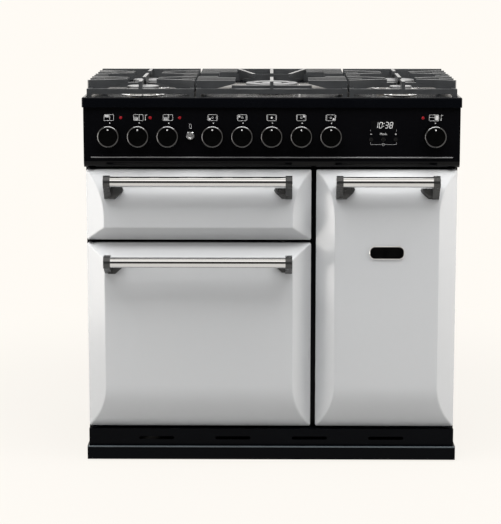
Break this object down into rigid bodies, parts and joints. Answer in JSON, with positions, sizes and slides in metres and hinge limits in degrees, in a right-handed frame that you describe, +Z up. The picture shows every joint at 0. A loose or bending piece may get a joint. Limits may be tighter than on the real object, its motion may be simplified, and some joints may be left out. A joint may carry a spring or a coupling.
{
  "type": "dual fuel range cooker",
  "caption": "Wide free-standing range cooker with a gas hob on cast iron supports, side-hinged grill, wide oven and tall oven doors with bar handles, and a knob panel.",
  "frame": {"origin": "on the floor, midway across the width and midway between the front of the handle brackets and the back of the hob tray", "axes": "+X to the right seen from the front, +Y to the back, +Z up"},
  "size_m": [0.9, 0.663, 0.919],
  "materials": {
    "door_enamel": "gloss enamel",
    "inner_panel": "gloss enamel",
    "handle_chrome": "polished",
    "bracket_grey": "satin",
    "black_enamel": "gloss enamel",
    "panel_black": "gloss",
    "display_black": "gloss",
    "lamp_red": "gloss",
    "galvanised": "dull",
    "cavity_enamel": "gloss enamel",
    "shelf_chrome": "polished",
    "element_steel": "dull",
    "steel_parts": "dull",
    "gas_brass": "dull",
    "switch_plastic": "matte",
    "burner_alloy": "satin",
    "cap_enamel": "satin enamel",
    "seal_rubber": "matte",
    "knob_black": "gloss",
    "button_chrome": "polished",
    "button_black": "gloss",
    "pan_support_iron": "satin"
  },
  "bodies": {
    "cooker_body": {"side_panels": "black_enamel", "back_panel": "galvanised", "base_panel": "black_enamel", "plinth": "black_enamel", "levelling_feet": "steel_parts", "front_frame": "black_enamel", "hob_tray": "black_enamel", "control_panel": "panel_black", "clock_module": "display_black", "indicator_lamps": "lamp_red", "grill_cavity": "cavity_enamel", "main_oven_cavity": "cavity_enamel", "tall_oven_cavity": "cavity_enamel", "oven_shelves": "shelf_chrome", "shelf_runners": "shelf_chrome", "grill_pan": "cavity_enamel", "grill_element": "element_steel", "fan_covers": "cavity_enamel", "fan_motors": "steel_parts", "gas_rail": "gas_brass", "oven_switches": "switch_plastic", "burner_bodies": "burner_alloy", "burner_caps": "cap_enamel", "hinge_brackets": "steel_parts", "door_seals": "seal_rubber"},
    "grill_door": {"grill_door_skin": "door_enamel", "grill_door_liner": "inner_panel", "grill_door_handle_bar": "handle_chrome", "grill_door_handle_brackets": "bracket_grey"},
    "main_oven_door": {"main_oven_door_skin": "door_enamel", "main_oven_door_liner": "inner_panel", "main_oven_door_handle_bar": "handle_chrome", "main_oven_door_handle_brackets": "bracket_grey"},
    "tall_oven_door": {"tall_oven_door_skin": "door_enamel", "tall_oven_door_liner": "inner_panel", "tall_oven_door_handle_bar": "handle_chrome", "tall_oven_door_handle_brackets": "bracket_grey"},
    "grill_knob": {"grill_knob": "knob_black"},
    "main_oven_heat_knob": {"main_oven_heat_knob": "knob_black"},
    "main_oven_mode_knob": {"main_oven_mode_knob": "knob_black"},
    "tall_oven_knob": {"tall_oven_knob": "knob_black"},
    "front_left_tap_spindle": {"front_left_tap_spindle": "gas_brass"},
    "front_left_knob": {"front_left_knob": "knob_black"},
    "rear_left_tap_spindle": {"rear_left_tap_spindle": "gas_brass"},
    "rear_left_knob": {"rear_left_knob": "knob_black"},
    "wok_tap_spindle": {"wok_tap_spindle": "gas_brass"},
    "wok_knob": {"wok_knob": "knob_black"},
    "rear_right_tap_spindle": {"rear_right_tap_spindle": "gas_brass"},
    "rear_right_knob": {"rear_right_knob": "knob_black"},
    "front_right_tap_spindle": {"front_right_tap_spindle": "gas_brass"},
    "front_right_knob": {"front_right_knob": "knob_black"},
    "light_button": {"light_button": "button_chrome"},
    "clock_minus_button": {"clock_minus_button": "button_black"},
    "clock_mode_button": {"clock_mode_button": "button_black"},
    "clock_plus_button": {"clock_plus_button": "button_black"},
    "left_pan_support": {"left_pan_support": "pan_support_iron"},
    "centre_pan_support": {"centre_pan_support": "pan_support_iron"},
    "right_pan_support": {"right_pan_support": "pan_support_iron"},
    "main_oven_fan": {"main_oven_fan": "steel_parts"},
    "tall_oven_fan": {"tall_oven_fan": "steel_parts"}
  },
  "joints": [
    {"name": "grill_door_hinge", "type": "hinge", "parent": "cooker_body", "child": "grill_door", "pos_m": [-0.429, -0.23218, 0.62575], "axis": [0, 0, -1], "range_deg": [0, 105]},
    {"name": "main_oven_door_hinge", "type": "hinge", "parent": "cooker_body", "child": "main_oven_door", "pos_m": [-0.429, -0.23218, 0.30775], "axis": [0, 0, -1], "range_deg": [0, 105]},
    {"name": "tall_oven_door_hinge", "type": "hinge", "parent": "cooker_body", "child": "tall_oven_door", "pos_m": [0.429, -0.23218, 0.39625], "axis": [0, 0, 1], "range_deg": [0, 105]},
    {"name": "grill_knob_turn", "type": "hinge", "parent": "cooker_body", "child": "grill_knob", "pos_m": [-0.386, -0.2485, 0.793], "axis": [0, 1, 0], "range_deg": [0, 270]},
    {"name": "main_oven_heat_knob_turn", "type": "hinge", "parent": "cooker_body", "child": "main_oven_heat_knob", "pos_m": [-0.316, -0.2485, 0.793], "axis": [0, 1, 0], "range_deg": [0, 270]},
    {"name": "main_oven_mode_knob_turn", "type": "hinge", "parent": "cooker_body", "child": "main_oven_mode_knob", "pos_m": [-0.246, -0.2485, 0.793], "axis": [0, 1, 0], "range_deg": [0, 315]},
    {"name": "tall_oven_knob_turn", "type": "hinge", "parent": "cooker_body", "child": "tall_oven_knob", "pos_m": [0.386, -0.2485, 0.793], "axis": [0, 1, 0], "range_deg": [0, 270]},
    {"name": "front_left_tap_push", "type": "slide", "parent": "cooker_body", "child": "front_left_tap_spindle", "axis": [0, 1, 0], "range_m": [0, 0.003], "stiffness_N_per_m": 1200},
    {"name": "front_left_knob_turn", "type": "hinge", "parent": "front_left_tap_spindle", "child": "front_left_knob", "pos_m": [-0.14, -0.2485, 0.793], "axis": [0, -1, 0], "range_deg": [0, 210]},
    {"name": "rear_left_tap_push", "type": "slide", "parent": "cooker_body", "child": "rear_left_tap_spindle", "axis": [0, 1, 0], "range_m": [0, 0.003], "stiffness_N_per_m": 1200},
    {"name": "rear_left_knob_turn", "type": "hinge", "parent": "rear_left_tap_spindle", "child": "rear_left_knob", "pos_m": [-0.07, -0.2485, 0.793], "axis": [0, -1, 0], "range_deg": [0, 210]},
    {"name": "wok_tap_push", "type": "slide", "parent": "cooker_body", "child": "wok_tap_spindle", "axis": [0, 1, 0], "range_m": [0, 0.003], "stiffness_N_per_m": 1200},
    {"name": "wok_knob_turn", "type": "hinge", "parent": "wok_tap_spindle", "child": "wok_knob", "pos_m": [0, -0.2485, 0.793], "axis": [0, -1, 0], "range_deg": [0, 210]},
    {"name": "rear_right_tap_push", "type": "slide", "parent": "cooker_body", "child": "rear_right_tap_spindle", "axis": [0, 1, 0], "range_m": [0, 0.003], "stiffness_N_per_m": 1200},
    {"name": "rear_right_knob_turn", "type": "hinge", "parent": "rear_right_tap_spindle", "child": "rear_right_knob", "pos_m": [0.07, -0.2485, 0.793], "axis": [0, -1, 0], "range_deg": [0, 210]},
    {"name": "front_right_tap_push", "type": "slide", "parent": "cooker_body", "child": "front_right_tap_spindle", "axis": [0, 1, 0], "range_m": [0, 0.003], "stiffness_N_per_m": 1200},
    {"name": "front_right_knob_turn", "type": "hinge", "parent": "front_right_tap_spindle", "child": "front_right_knob", "pos_m": [0.14, -0.2485, 0.793], "axis": [0, -1, 0], "range_deg": [0, 210]},
    {"name": "light_button_push", "type": "slide", "parent": "cooker_body", "child": "light_button", "axis": [0, 1, 0], "range_m": [0, 0.003], "stiffness_N_per_m": 600},
    {"name": "clock_minus_button_push", "type": "slide", "parent": "cooker_body", "child": "clock_minus_button", "axis": [0, 1, 0], "range_m": [0, 0.001], "stiffness_N_per_m": 600},
    {"name": "clock_mode_button_push", "type": "slide", "parent": "cooker_body", "child": "clock_mode_button", "axis": [0, 1, 0], "range_m": [0, 0.001], "stiffness_N_per_m": 600},
    {"name": "clock_plus_button_push", "type": "slide", "parent": "cooker_body", "child": "clock_plus_button", "axis": [0, 1, 0], "range_m": [0, 0.001], "stiffness_N_per_m": 600},
    {"name": "left_pan_support_lift", "type": "slide", "parent": "cooker_body", "child": "left_pan_support", "axis": [0, 0, 1], "range_m": [0, 0.08]},
    {"name": "centre_pan_support_lift", "type": "slide", "parent": "cooker_body", "child": "centre_pan_support", "axis": [0, 0, 1], "range_m": [0, 0.08]},
    {"name": "right_pan_support_lift", "type": "slide", "parent": "cooker_body", "child": "right_pan_support", "axis": [0, 0, 1], "range_m": [0, 0.08]},
    {"name": "main_oven_fan_spin", "type": "hinge", "parent": "cooker_body", "child": "main_oven_fan", "pos_m": [-0.174, 0.1925, 0.30775], "axis": [0, 1, 0], "continuous": true},
    {"name": "tall_oven_fan_spin", "type": "hinge", "parent": "cooker_body", "child": "tall_oven_fan", "pos_m": [0.275, 0.1925, 0.39625], "axis": [0, 1, 0], "continuous": true}
  ]
}
